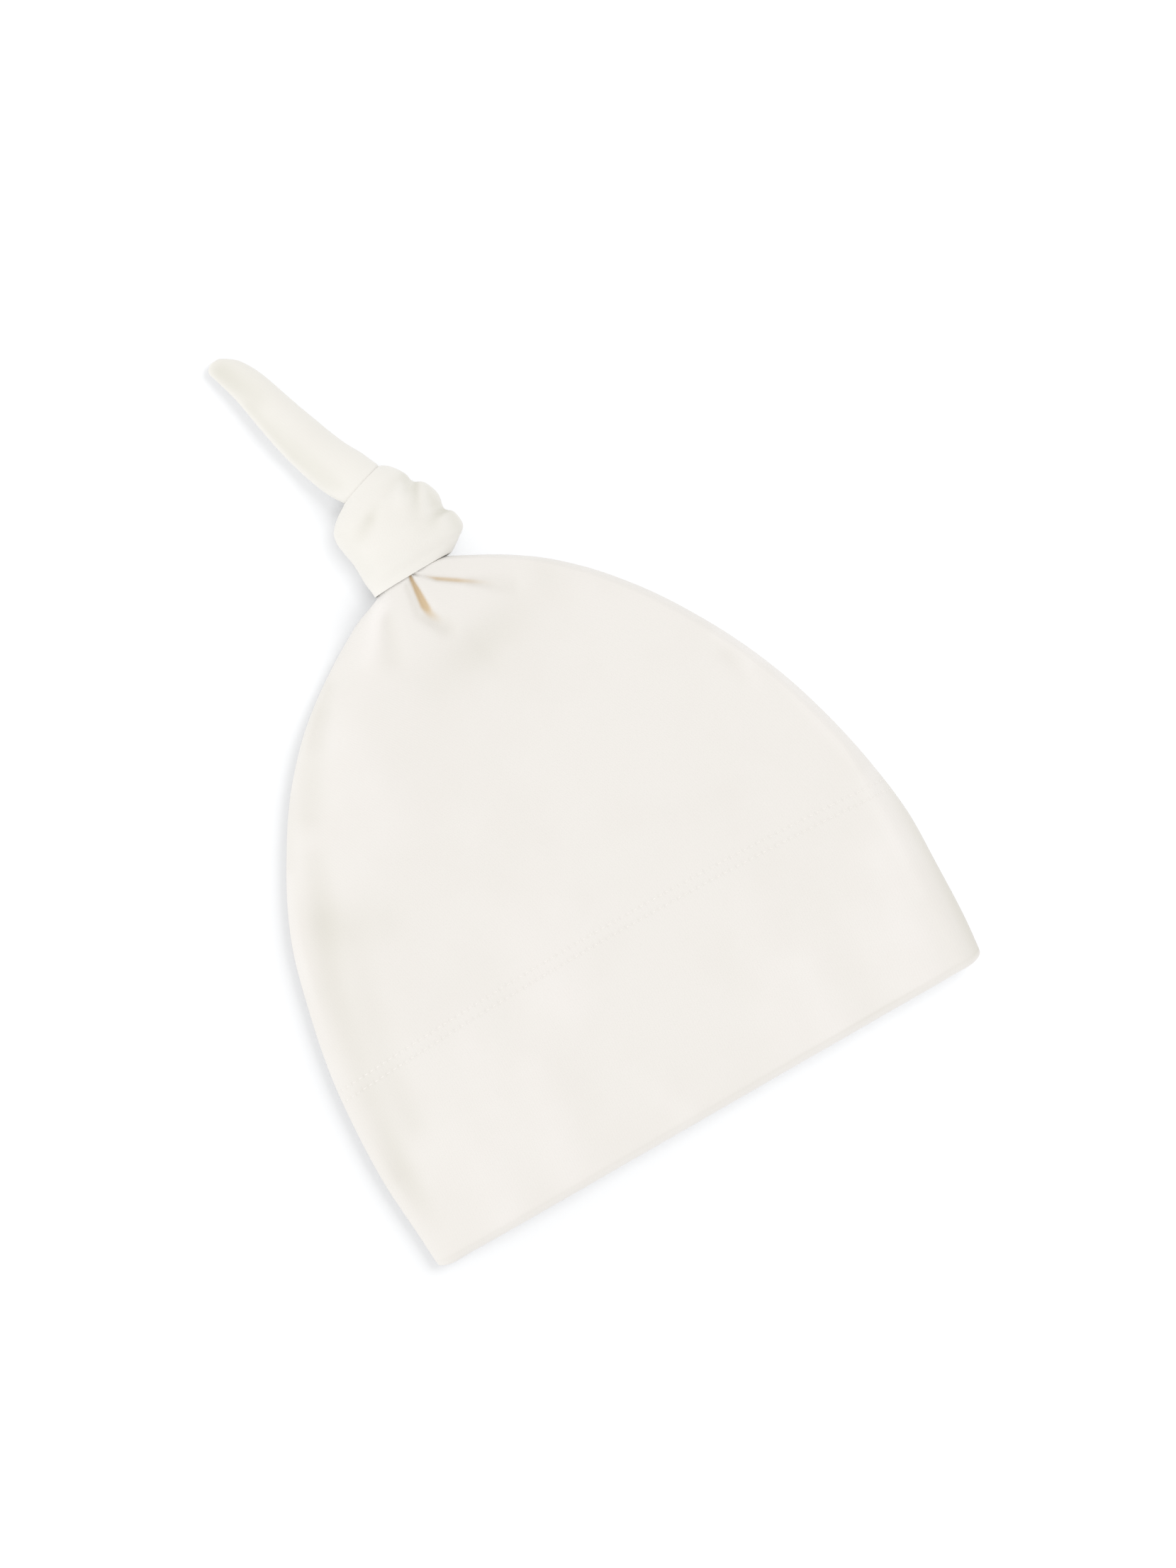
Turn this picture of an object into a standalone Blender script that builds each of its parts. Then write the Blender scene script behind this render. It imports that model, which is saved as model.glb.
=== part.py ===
"""A baby's top-knot nightcap lying flat: a jersey tube, open at its mouth, turned in to a deep hem there, and
gathered at the other end into a knot with a free tail."""

import math

import bpy
import numpy as np

MM = 0.001

# Sizes in millimetres. x runs along the mouth from its middle, y from the mouth's edge to the knot, z up.
CLOTH = 1.0
CLEARANCE = 0.3
HEM_DEPTH = 62.5
FOLD_DEPTH = 1.5
HOLLOW_END = 162.0
LENGTH = 254.2
MIDDLE = (0.65, LENGTH / 2)

# How far from a side fold the cloth levels out, above and below, and how much further for each millimetre inside
LEFT_SHOULDER = 34.0
RIGHT_SHOULDER = 22.0
UNDERSIDE_ROUND = 4.0
SHOULDER_GROWTH = 0.15

# The front layer stops short of the back layer at the mouth: everywhere by the first, most by the second.
FRONT_SETBACK = 0.8
FRONT_SETBACK_MOST = 1.4
SETBACK_PLACE = (50.0, 26.0)
SETBACK_ROUND = 6.0
CORNER_RISE = 3.2
CORNER_START = 0.955
MOUTH_REACH = 30.0

# A crease fades out this far from a side fold of the cap, and over this height above the knot's middle.
CREASE_MARGIN = 2.0
CREASE_FADE = 4.0

# The knot's and the tail's sections are ovals, squarer than an ellipse by this power of the height.
OVAL_POWER = 0.85

TOP_COLUMNS = 36
UNDER_COLUMNS = 18
KNOT_COLUMNS = 32
KNOT_STEPS = 2
TAIL_COLUMNS = 24
TAIL_STEPS = 1

CROWN_CREAM = (0.896, 0.863, 0.823)
HEM_CREAM = (0.896, 0.863, 0.82)
KNOT_CREAM = (0.918, 0.9, 0.85)
TAIL_CREAM = (0.911, 0.88, 0.83)
ROUGHNESS = 0.92
SHARP_ANGLE = 50

# Cap sections: y, left side, right side, top, underside, height of the side folds
CAP_SECTIONS = (
    (0.0, -87.5, 88.3, 10.0, 0.0, 2.9),
    (10.0, -88.4, 89.5, 10.2, 0.0, 2.9),
    (30.0, -89.8, 90.8, 10.6, 0.0, 2.9),
    (46.0, -89.3, 91.1, 11.0, 0.0, 2.9),
    (62.0, -87.8, 89.2, 11.2, 0.0, 2.9),
    (82.0, -83.9, 84.9, 11.4, 0.0, 2.8),
    (102.0, -78.2, 78.3, 11.5, 0.0, 2.8),
    (122.0, -68.2, 68.6, 11.5, 0.0, 2.8),
    (142.0, -54.2, 55.3, 11.8, 0.0, 3.0),
    (152.0, -44.3, 46.5, 12.4, 0.2, 3.6),
    (162.0, -30.9, 34.9, 13.6, 1.0, 5.6),
    (167.0, -22.7, 27.5, 14.6, 2.0, 7.4),
    (170.5, -15.8, 21.6, 15.4, 3.2, 8.8),
    (172.3, -10.9, 17.0, 15.6, 4.0, 9.6),
    (173.1, -7.4, 12.8, 15.2, 4.8, 10.0),
    (174.0, -5.0, 9.4, 14.8, 5.8, 10.3),
    (176.4, -4.5, 8.8, 14.6, 6.3, 10.4),
)

# The places of the cap's sections along y, closer where it narrows
CAP_STEPS = (
    *(FOLD_DEPTH, 12.0, 24.0, 38.0, 50.0, HEM_DEPTH, 76.0, 90.0, 104.0, 116.0, 127.0, 136.0),
    *(142.0, 147.0, 152.0, 156.0, 159.0, HOLLOW_END, 164.0, 166.0, 168.0, 170.0, 171.4, 172.3),
    *(173.1, 174.0, 176.4),
)

# The turned edge at the mouth, as depth into the cap and distance inside the outer skin
EDGE_ROLL = ((0.55, 0.18), (0.12, 0.7), (0.0, 1.15), (0.12, 1.6), (0.55, 2.12), (FOLD_DEPTH, 2.3))

# The hollow's far end rounds off, as depth past the last full section and distance inside the outer skin
HOLLOW_ROUND = ((0.0, 1.0), (1.6, 1.9), (2.6, 3.1), (3.0, 4.6))

# Creases in the front layer: from x, y to x, y, half width, depth at the start, depth at the end
CAP_CREASES = (
    (2.8, 175.0, 1.0, 163.5, 1.7, 5.0, 4.0),
    (1.0, 163.5, 4.0, 156.3, 2.4, 4.0, 0.6),
    (2.8, 175.0, 10.1, 168.5, 1.4, 4.0, 3.4),
    (10.1, 168.5, 17.4, 163.5, 1.7, 3.4, 2.8),
    (17.4, 163.5, 27.2, 157.0, 2.4, 2.8, 0.4),
    (-2.0, 145.5, 26.0, 149.0, 9.0, 1.9, 1.3),
    (-66.5, 118.0, -79.0, 77.5, 3.2, 1.3, 0.6),
    (-83.6, 53.4, -83.9, 22.0, 3.4, 1.1, 0.9),
)

# Knot sections, from its hollow round the neck to its hollow round the tail: left x and y, right x and y, top,
# underside. The third is the rim over the neck, and the third from the end the rim over the tail.
KNOT_SECTIONS = (
    (-5.0, 177.0, 9.3, 177.0, 15.3, 5.2),
    (-5.5, 174.9, 9.9, 175.2, 15.7, 4.9),
    (-8.4, 173.5, 13.6, 174.4, 18.6, 2.6),
    (-9.2, 174.4, 18.6, 175.8, 20.4, 0.6),
    (-9.8, 178.0, 22.7, 179.4, 21.8, -0.5),
    (-9.9, 182.0, 22.3, 183.2, 22.6, -0.8),
    (-10.2, 185.0, 20.3, 185.6, 22.8, -0.9),
    (-10.9, 188.8, 20.9, 190.0, 22.7, -0.9),
    (-11.1, 192.3, 19.2, 194.6, 22.0, -0.8),
    (-9.9, 195.3, 16.5, 196.6, 20.9, -0.5),
    (-7.4, 197.9, 15.6, 199.8, 19.4, 0.2),
    (-4.6, 199.8, 13.1, 203.4, 17.4, 1.8),
    (-3.4, 200.5, 10.6, 205.0, 16.2, 3.0),
    (-2.4, 199.4, 9.6, 203.6, 15.4, 3.8),
    (-2.2, 198.0, 9.3, 202.0, 15.2, 4.0),
)

# Folds that run round the knot, in the same columns as the cap's creases
KNOT_CREASES = (
    (17.5, 197.2, 10.0, 195.4, 2.0, 1.5, 0.5),
    (14.6, 197.0, 13.2, 190.5, 1.9, 1.2, 0.2),
    (21.5, 185.3, 13.2, 184.8, 2.0, 1.6, 0.3),
    (-5.6, 188.8, 4.6, 194.6, 2.4, 0.9, 0.6),
)

# Tail sections, from the knot to the tip, in the same columns as the knot's
TAIL_SECTIONS = (
    (-1.8, 198.4, 8.8, 202.4, 14.8, 4.4),
    (-2.3, 200.4, 9.3, 204.9, 14.7, 4.4),
    (-4.6, 202.2, 9.7, 206.4, 13.8, 3.2),
    (-6.9, 206.6, 7.8, 211.0, 12.5, 1.9),
    (-8.9, 211.8, 5.2, 216.0, 11.0, 0.8),
    (-10.6, 217.2, 3.1, 221.2, 9.7, 0.0),
    (-11.9, 222.0, 1.4, 225.8, 8.8, -0.4),
    (-13.0, 227.2, -0.5, 230.8, 8.2, -0.6),
    (-14.0, 232.0, -2.1, 235.4, 7.7, -0.6),
    (-15.5, 241.8, -5.6, 244.8, 6.8, -0.6),
    (-17.0, 248.6, -9.2, 250.4, 6.0, -0.4),
    (-17.9, 252.2, -12.6, 253.0, 5.3, 0.1),
    (-16.8, 253.9, -14.6, 254.2, 4.2, 1.4),
)


def read(table, places):
    """A smooth cubic through a table's rows, read at places in the table's first column, one row for each."""
    rows = np.array(table, float)
    keys, values = rows[:, 0], rows[:, 1:]
    slopes = np.gradient(values, keys, axis=0)
    places = np.clip(np.array(places, float), keys[0], keys[-1])
    span = np.clip(np.searchsorted(keys, places, side="right") - 1, 0, len(keys) - 2)
    width = (keys[span + 1] - keys[span])[:, None]
    t = (places - keys[span])[:, None] / width
    start = values[span] * (2 * t**3 - 3 * t**2 + 1) + slopes[span] * width * (t**3 - 2 * t**2 + t)
    end = values[span + 1] * (3 * t**2 - 2 * t**3) + slopes[span + 1] * width * (t**3 - t**2)
    return start + end


def crease(x, y, rows):
    """How deep the deepest crease is at x, y: bell-shaped across each line, running evenly from end to end."""
    depth = np.zeros_like(x)
    for x0, y0, x1, y1, width, deep, shallow in rows:
        along = (x1 - x0, y1 - y0)
        t = np.clip(((x - x0) * along[0] + (y - y0) * along[1]) / (along[0] ** 2 + along[1] ** 2), 0, 1)
        away = np.hypot(x - x0 - t * along[0], y - y0 - t * along[1])
        depth = np.maximum(depth, (deep + (shallow - deep) * t) * np.exp(-((away / width) ** 2)))
    return depth


def round_off(distance, reach):
    """From 0 at a side fold to 1 at reach inside it, as a quarter of an ellipse rises."""
    share = np.clip(distance / reach, 0, 1)
    return np.sqrt(np.clip(1 - (1 - share) ** 2, 0, 1))


def cap_loop(y, inset):
    """One closed section of the cap at y, inset from the outer skin: over the front from right to left, then back
    under. The corners of the mouth rise, and the front layer's edge is set back from the back layer's."""
    left, right, top, under, fold = read(CAP_SECTIONS, [y])[0]
    under = max(under, 0.0)
    over = np.linspace(0, math.pi, TOP_COLUMNS + 1)
    below = np.linspace(math.pi, 2 * math.pi, UNDER_COLUMNS + 1)[1:-1]
    across = np.cos(np.concatenate([over, below]))
    front = np.arange(len(across)) <= TOP_COLUMNS
    skin_half = (right - left) / 2
    skin_x = (left + right) / 2 + skin_half * across
    skin_distance = skin_half * (1 - np.abs(across))
    pressed = crease(skin_x, np.full_like(skin_x, y), CAP_CREASES)
    pressed *= np.clip(skin_distance / CREASE_MARGIN, 0, 1)
    half = skin_half - inset
    x = (left + right) / 2 + half * across
    distance = half * (1 - np.abs(across))
    shoulder = np.where(across > 0, RIGHT_SHOULDER, LEFT_SHOULDER)
    reach = np.minimum(shoulder * (1 + SHOULDER_GROWTH * inset), 0.9 * half)
    upper = fold + (top - inset - fold) * round_off(distance, reach) - pressed
    lower = fold - (fold - under - inset) * round_off(distance, min(UNDERSIDE_ROUND, half))
    z = np.where(front, upper, lower)
    near_mouth = np.clip(1 - y / MOUTH_REACH, 0, 1) ** 2
    corner = CORNER_RISE * np.clip((np.abs(across) - CORNER_START) / (1 - CORNER_START), 0, 1) ** 2
    place, spread = SETBACK_PLACE
    bump = FRONT_SETBACK_MOST * np.exp(-(((x - place) / spread) ** 2))
    setback = np.where(front, (FRONT_SETBACK + bump) * round_off(distance, SETBACK_ROUND), 0)
    return np.column_stack([x, y + near_mouth * (corner + setback), z])


def section_loop(row, columns):
    """One closed section of the knot or the tail: an oval between its left and right points, flat on the floor."""
    left_x, left_y, right_x, right_y, top, under = row
    turn = np.linspace(0, 2 * math.pi, columns, endpoint=False)
    across, up = np.cos(turn), np.sin(turn)
    boxy = np.sign(up) * np.abs(up) ** OVAL_POWER
    x = (left_x + right_x) / 2 + (right_x - left_x) / 2 * across
    y = (left_y + right_y) / 2 + (right_y - left_y) / 2 * across
    z = (top + under) / 2 + (top - under) / 2 * boxy
    return np.column_stack([x, y, np.maximum(z, 0)])


def strip(loops, ring, following):
    """The triangles between two loops. They lean the same way whichever way the sweep runs, so that layers of
    cloth that lie on each other bend along the same lines."""
    count = len(loops[0])
    rising = loops[following][:, 1].mean() > loops[ring][:, 1].mean()
    faces = []
    for i in range(count):
        j = (i + 1) % count
        a, b, c, d = ring * count + i, ring * count + j, following * count + j, following * count + i
        faces += [(a, b, c), (a, c, d)] if rising else [(a, b, d), (b, c, d)]
    return faces


def tube(loops):
    """The points and faces of a closed body swept through loops of the same count, capped at both ends."""
    count, last = len(loops[0]), len(loops) - 1
    faces = [tuple(range(count))[::-1], tuple(range(last * count, (last + 1) * count))]
    for ring in range(last):
        faces += strip(loops, ring, ring + 1)
    return np.concatenate(loops), faces


def band(loops):
    """The points and faces of a closed body swept through loops that come back to the first one."""
    faces = []
    for ring in range(len(loops)):
        faces += strip(loops, ring, (ring + 1) % len(loops))
    return np.concatenate(loops), faces


def make_node(name, points, faces, colour):
    """An object of its own with its own matt cloth material, its faces pointing out and shaded smooth."""
    mesh = bpy.data.meshes.new(name)
    placed = (points - np.array([MIDDLE[0], MIDDLE[1], 0.0])) * MM
    mesh.from_pydata(placed.tolist(), [], faces)
    mesh.update()
    mesh.shade_smooth()
    mesh.set_sharp_from_angle(angle=math.radians(SHARP_ANGLE))
    material = bpy.data.materials.new(name)
    material.use_nodes = True
    surface = material.node_tree.nodes["Principled BSDF"]
    surface.inputs["Base Color"].default_value = (*colour, 1)
    surface.inputs["Roughness"].default_value = ROUGHNESS
    surface.inputs["Metallic"].default_value = 0.0
    material.diffuse_color = (*colour, 1)
    mesh.materials.append(material)
    thing = bpy.data.objects.new(name, mesh)
    bpy.context.scene.collection.objects.link(thing)
    return thing


def make_crown():
    """The cap's cloth: the outer skin from the neck to the mouth, the turned edge, and the inner skin back up to
    the hollow's round end."""
    outer = [cap_loop(y, 0.0) for y in reversed(CAP_STEPS)]
    edge = [cap_loop(depth, inset) for depth, inset in EDGE_ROLL]
    inner = [cap_loop(y, CLOTH) for y in CAP_STEPS if y < HOLLOW_END]
    end = [cap_loop(HOLLOW_END + depth, inset) for depth, inset in HOLLOW_ROUND]
    points, faces = tube(outer + edge + inner + end)
    return make_node("crown", points, faces, CROWN_CREAM)


def make_hem():
    """The turned-in leaf of the hem, inside the crown from its fold to just past the stitching."""
    steps = [FOLD_DEPTH + 2 * CLEARANCE, *(y for y in CAP_STEPS if FOLD_DEPTH < y <= HEM_DEPTH)]
    outside = [cap_loop(y, CLOTH + CLEARANCE) for y in reversed(steps)]
    inside = [cap_loop(y, 2 * CLOTH + CLEARANCE) for y in steps]
    points, faces = band(outside + inside)
    return make_node("hem", points, faces, HEM_CREAM)


def make_lump(name, sections, creases, columns, steps, colour):
    """The knot or the tail: swept through its sections with so many steps between two, and with its creases
    pressed into the upper side."""
    spans = len(sections) - 1
    places = np.linspace(spans, 0, spans * steps + 1)
    rows = read([(number, *row) for number, row in enumerate(sections)], places)
    loops = [section_loop(row, columns) for row in rows]
    points, faces = tube(loops)
    middle = np.repeat((rows[:, 4] + rows[:, 5]) / 2, columns)
    upper = np.clip((points[:, 2] - middle) / CREASE_FADE, 0, 1)
    points[:, 2] -= crease(points[:, 0], points[:, 1], creases) * upper
    return make_node(name, points, faces, colour)


def clear_scene():
    for thing in list(bpy.data.objects):
        bpy.data.objects.remove(thing)


def main():
    clear_scene()
    make_crown()
    make_hem()
    make_lump("knot", KNOT_SECTIONS, KNOT_CREASES, KNOT_COLUMNS, KNOT_STEPS, KNOT_CREAM)
    make_lump("tail", TAIL_SECTIONS, (), TAIL_COLUMNS, TAIL_STEPS, TAIL_CREAM)


main()
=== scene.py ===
"""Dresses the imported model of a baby's top-knot nightcap, lying flat, with its cream jersey, stitching and
stage."""

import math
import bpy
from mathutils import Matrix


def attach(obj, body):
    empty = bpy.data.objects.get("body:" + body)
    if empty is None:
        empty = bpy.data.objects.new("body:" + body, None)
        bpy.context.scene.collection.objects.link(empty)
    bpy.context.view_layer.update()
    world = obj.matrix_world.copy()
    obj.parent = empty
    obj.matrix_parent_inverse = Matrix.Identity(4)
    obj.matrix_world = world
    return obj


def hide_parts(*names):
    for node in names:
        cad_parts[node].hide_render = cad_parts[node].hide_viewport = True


bl_info = {
    "name": "Top-knot Nightcap",
    "version": (1, 0, 0),
    "blender": (4, 5, 0),
    "location": "3D View > Sidebar > Nightcap",
    "description": "Makes a baby's jersey nightcap: crown, hem, knot, tail, cover stitching and a stage",
    "category": "Add Mesh",
}

import bpy
import numpy as np
from bpy.props import FloatProperty, FloatVectorProperty, IntProperty, PointerProperty

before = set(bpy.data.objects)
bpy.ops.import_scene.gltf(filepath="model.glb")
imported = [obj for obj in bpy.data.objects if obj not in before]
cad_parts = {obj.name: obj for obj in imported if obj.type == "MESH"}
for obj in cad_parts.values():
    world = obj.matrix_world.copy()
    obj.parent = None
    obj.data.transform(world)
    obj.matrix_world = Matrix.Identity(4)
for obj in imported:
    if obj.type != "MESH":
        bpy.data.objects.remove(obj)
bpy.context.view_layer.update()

# Shapes are worked out in millimetres: x along the mouth from its middle, y from the mouth's edge to the
# knot, z up
MM = 0.001
LENGTH = 254.2
MIDDLE = (0.65, LENGTH / 2)

# The cloth, the gap between its layers, and how far the hem, its fold and the hollow reach from the mouth
CLOTH = 1.0
CLEARANCE = 0.3
HEM_DEPTH = 62.5
FOLD_DEPTH = 1.5
HOLLOW_END = 162.0
HALF_MOUTH = 89.0

# How far from a side fold the cloth levels out, above and below, how much further for each millimetre inside
# the skin, and the largest share of the half width that this may take
LEFT_SHOULDER = 34.0
RIGHT_SHOULDER = 8.0
UPPER_RIGHT_SHOULDER = 3.2
SHARP_PLACE = (50.0, 75.0)
NECK_ROUND = 3.0
NECK_PLACE = (172.6, 173.9)
UNDERSIDE_ROUND = 4.0
SHOULDER_GROWTH = 0.15
REACH_SHARE = 0.9

# The left shoulder slopes more gently from the first places to the second
LEFT_SLOPE = 0.5
SLOPE_START = (146.0, 164.0)
SLOPE_END = (170.5, 173.2)

# The mouth: how far its front edge is set back and its corners rise, and how its two lips droop, lift and curl
MOUTH_REACH = 30.0
FRONT_SETBACK = 0.1
SETBACK_ROUND = 6.0
CORNER_RISE = 1.0
CORNER_START = 0.955
LIP_REACH = 9.0
LIP_MARGIN = 10.0
LIP_DROOP = 0.9
LIP_LIFT = 0.9
EDGE_REACH = 3.2
EDGE_DROOP = 2.0

# Pleats and folds fade out this far from a side fold, and the knot's and the tail's over this height
CREASE_MARGIN = 2.0
RELIEF_MARGIN = 5.0
FOLD_FADE = 4.0

# The knot's and the tail's sections are ovals, squarer than an ellipse by this power of the height
OVAL_POWER = 0.85

# The rise between the rows of stitching starts and ends across a row here, and each row has a groove
BAND_EDGE = (-0.9, 0.7)
GROOVE_DEPTH = 0.12
GROOVE_WIDTH = 0.7

# Long waves of the lying cloth: height, turn for each millimetre of x and of y, and turn at the start
WAVES = (
    (0.07, 0.11, 0.05, 0.6),
    (0.06, 0.06, -0.13, 2.1),
    (0.03, 0.23, 0.19, 4.0),
)

# Depth of a fold that takes the full painted valley shade, on the cap and on the knot, and the painted light of
# its ridges, as a negative share of that shade
VALLEY_SHADE = 2.6
LUMP_VALLEY_SHADE = 1.8
RIDGE_LIGHT = -0.25

# Painted shade of the mouth's turned edge: everywhere, how much more where it is deepest, the place and spread
# of that, and where it fades out above the mouth
TURNED_EDGE_SHADE = 0.25
TURNED_EDGE_MOST = 0.4
TURNED_EDGE_PLACE = (50.0, 26.0)
TURNED_EDGE_FADE = (1.4, 2.9)

# Share of the painted pleat shade, a warm dark colour that stands in for shade deep in a pleat, and the
# depth at which it starts and the depth at which it is full
PLEAT_SHADE = 0.6
PLEAT_SHADE_DEPTHS = (0.5, 1.65)

# Rows of the outer skin's grid: from y, to y, step
SKIN_ROWS = (
    (175.9, 150, 0.45),
    (150, 66, 1.2),
    (66, 52, 0.6),
    (52, 5, 1.3),
    (5, 1.5, 0.6),
)
INNER_STEP = 4.0
HEM_STEP = 2.0

# Grids of the knot and the tail: columns, and steps between two sections. The last value is the share of even
# turning in the places of the cap's columns
KNOT_GRID = (200, 16)
TAIL_GRID = (140, 16)
COLUMN_CROWDING = 0.55

# The knit's columns and rows, and the size of a needle hole from its edge to where it is full
WALE = 0.82
COURSE = 0.64
HOLE_EDGES = (0.18, 0.62)
HOLE_ACROSS = 0.75
HOLE_ALONG = 1.5

# The jersey's clouds and fuzz as scales of noise, the height in millimetres and the strength of each bump, and
# how much painted shade lies between the knit's columns and in a needle hole
CLOUD_SCALE = 38.0
FUZZ_SCALE = 2600.0
FUZZ_BUMP = (0.04, 0.25)
KNIT_BUMP = (0.12, 0.15)
HOLE_BUMP = (-0.3, 0.2)
BETWEEN_SHARE = 0.07
HOLE_SHARE = 0.04

# Tints of the jersey: its clouds, and the painted shade between the knit's columns, in a valley and in a needle
# hole
PALE = (1.008, 1.008, 1.008)
DULL = (0.992, 0.990, 0.986)
KNIT_HOLLOW_SHADE = (0.9, 0.87, 0.82)
VALLEY_PAINTED_SHADE = (0.86, 0.86, 0.82)
NEEDLE_HOLE_SHADE = (0.6, 0.52, 0.42)

# The thread's unevenness and ply lines as scales, its bump and the tint of its darker places
THREAD_SCALE = 900.0
PLY_SCALE = 1400.0
PLY_BUMP = (0.05, 0.4)
THREAD_TINT = (0.93, 0.93, 0.93)

# Where a stitch's thread starts and ends, in stitches from its hole, how deep it lies, how flat it is, how
# much of its swell the ends keep, and its grid. The last value is a place that keeps holes off the inner skin
THREAD_SPAN = (-0.16, 0.42)
THREAD_SUNK = 0.1
THREAD_FLATNESS = 0.8
THREAD_END = 0.02
THREAD_SAMPLES = 7
THREAD_SIDES = 6
OFF_THE_ROWS = 50.0

# Cap sections: y, left side, right side, top, underside, height of the side folds
CAP_SECTIONS = (
    (0.0, -88.1, 89.0, 10.0, 0.0, 2.9),
    (10.0, -88.6, 90.0, 10.2, 0.0, 2.9),
    (30.0, -89.8, 90.8, 10.6, 0.0, 2.9),
    (46.0, -89.3, 91.1, 11.0, 0.0, 2.9),
    (62.0, -87.8, 89.2, 11.2, 0.0, 2.9),
    (82.0, -83.9, 84.9, 11.4, 0.0, 2.8),
    (102.0, -78.2, 78.3, 11.5, 0.0, 2.8),
    (122.0, -68.2, 68.6, 11.5, 0.0, 2.8),
    (142.0, -54.2, 55.3, 11.8, 0.0, 3.0),
    (152.0, -44.3, 46.5, 12.4, 0.1, 3.3),
    (162.0, -30.9, 34.9, 13.6, 0.3, 3.2),
    (167.0, -22.7, 27.1, 14.9, 1.0, 3.8),
    (170.5, -15.8, 20.5, 16.1, 2.4, 6.0),
    (172.3, -10.3, 16.7, 16.9, 4.6, 9.6),
    (173.1, -8.4, 15.0, 17.1, 6.0, 11.4),
    (173.9, -7.5, 13.4, 16.9, 7.1, 12.0),
    (174.6, -7.2, 12.3, 16.4, 7.6, 12.1),
    (175.2, -7.1, 12.0, 16.1, 7.8, 12.1),
    (175.9, -7.0, 11.9, 15.9, 7.9, 12.1),
)

# The turned edge at the mouth and the round end of the hollow: depth into the cap, distance inside the skin
EDGE_ROLL = ((0.8, 0.1), (0.5, 0.22), (0.24, 0.45), (0.08, 0.75), (0.0, 1.15), (0.08, 1.55), (0.24, 1.85),
             (0.5, 2.08), (0.9, 2.22), (FOLD_DEPTH, 2.3))
HOLLOW_ROUND = ((0.0, 1.0), (1.0, 1.4), (1.8, 2.0), (2.6, 3.1), (3.0, 4.6))

# Pleats pressed in below the knot: from x, y to x, y, half width at the start and the end, depth at the start
# and the end
PLEATS = (
    (2.7, 174.5, 2.4, 172.5, 0.4, 0.7, 1.3, 1.7),
    (2.4, 172.5, 2.2, 169.0, 0.7, 1.1, 1.7, 1.9),
    (2.2, 169.0, 1.9, 164.6, 1.1, 1.5, 1.9, 1.9),
    (1.9, 164.6, 2.1, 161.9, 1.5, 1.8, 1.9, 1.2),
    (2.1, 161.9, 4.8, 156.0, 1.8, 3.0, 1.2, 0.3),
    (2.7, 174.5, 5.5, 172.0, 0.4, 0.4, 0.8, 0.6),
    (5.5, 172.0, 8.6, 169.3, 0.4, 0.8, 0.6, 1.3),
    (8.6, 169.3, 13.5, 166.0, 0.8, 0.9, 1.3, 1.3),
    (13.5, 166.0, 19.0, 162.3, 0.9, 1.2, 1.3, 0.8),
    (19.0, 162.3, 26.0, 157.4, 1.2, 2.6, 0.8, 0.3),
)
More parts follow.
